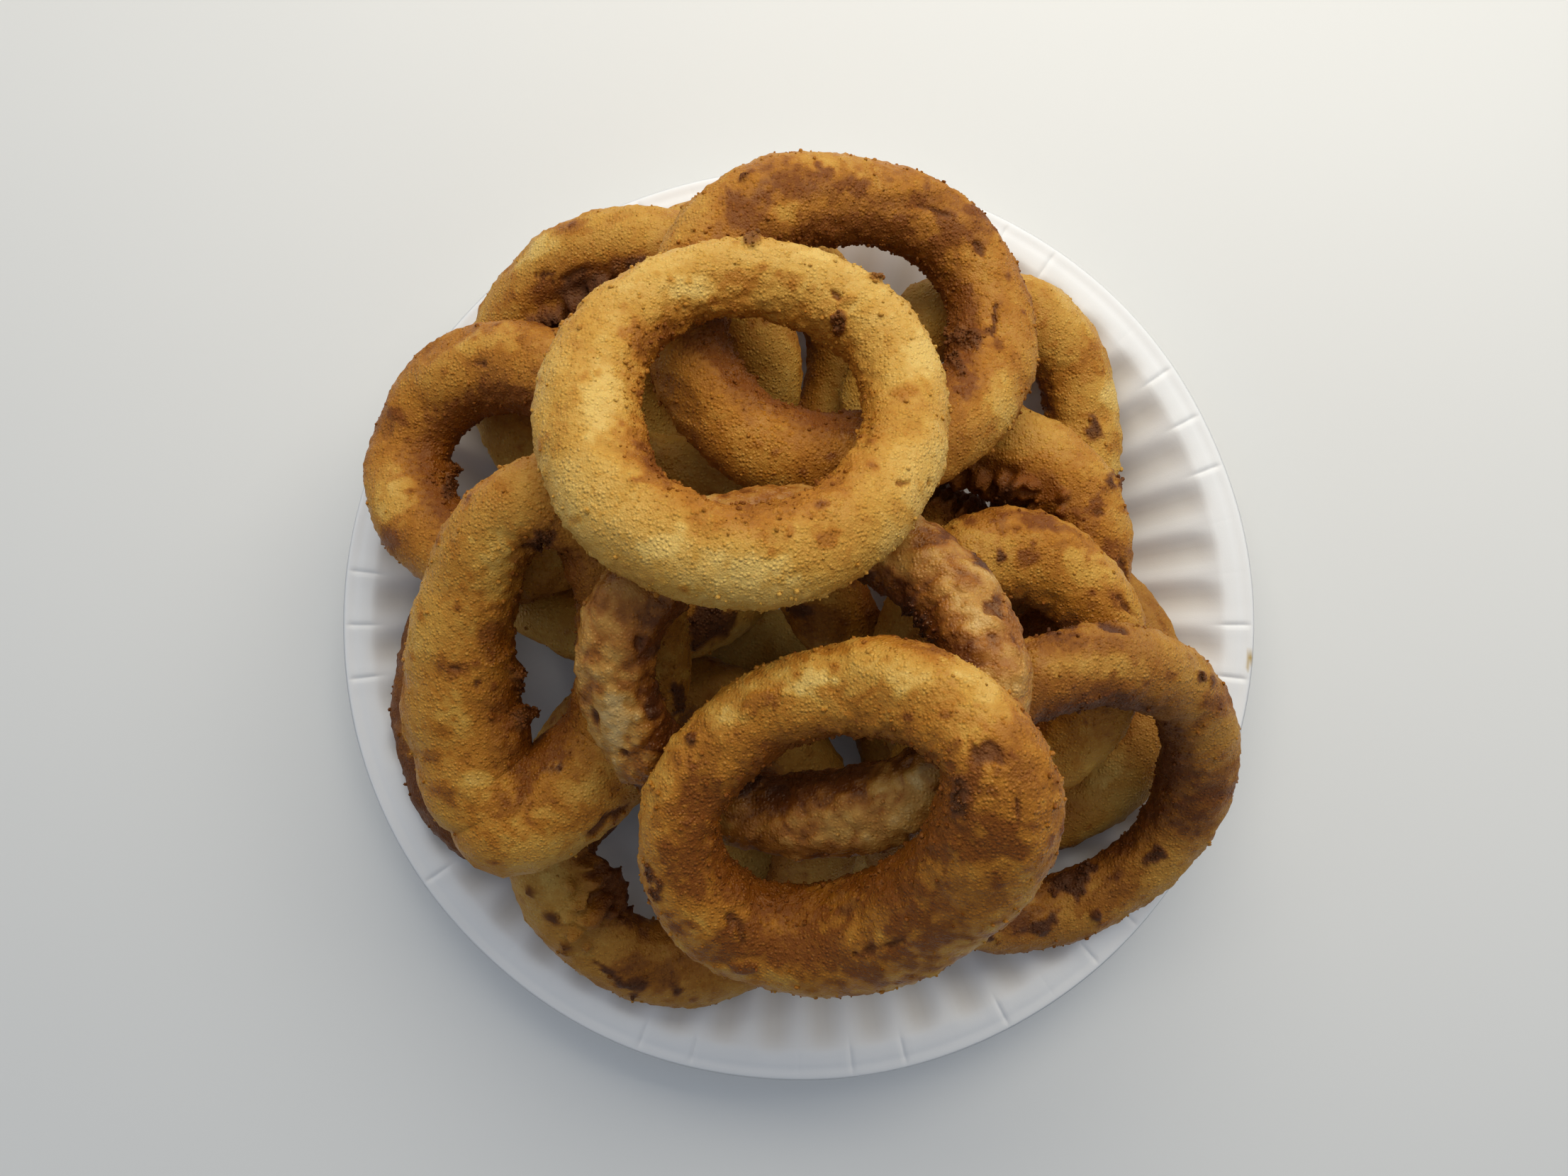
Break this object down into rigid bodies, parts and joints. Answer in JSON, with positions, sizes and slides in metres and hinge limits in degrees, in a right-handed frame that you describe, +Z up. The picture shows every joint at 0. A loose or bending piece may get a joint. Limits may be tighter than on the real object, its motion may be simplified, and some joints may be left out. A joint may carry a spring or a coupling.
{
  "type": "plate of onion rings",
  "caption": "Side of deep-fried crumbed onion rings heaped on a round white paper plate with a flat middle, a fluted wall and a narrow brim.",
  "frame": {"origin": "centre of the plate's flat underside", "axes": "+Z up out of the plate; +X to the right and +Y to the top of the picture, which looks straight down"},
  "size_m": [0.229, 0.229, 0.1111],
  "materials": {
    "paper": "matt uncoated white paper board",
    "golden_crust": "matt, rough, golden fried crumb",
    "browned_crust": "matt, rough, deeper browned fried crumb",
    "blistered_batter": "satin, oily, blistered batter with few crumbs"
  },
  "bodies": {
    "root": {"paper_plate": "paper", "ring_back_low": "golden_crust", "ring_left_low": "browned_crust", "ring_right_low": "browned_crust", "ring_middle_low": "browned_crust", "ring_back_left": "golden_crust", "ring_back_right": "golden_crust", "ring_front_left": "browned_crust", "ring_inner_left": "golden_crust", "ring_right": "golden_crust", "ring_left": "golden_crust", "ring_inner_right": "golden_crust", "ring_front_right": "browned_crust", "ring_long_left": "golden_crust", "ring_back_top": "golden_crust", "ring_wide_middle": "blistered_batter", "ring_topmost": "golden_crust", "ring_front_top": "golden_crust"}
  },
  "joints": []
}
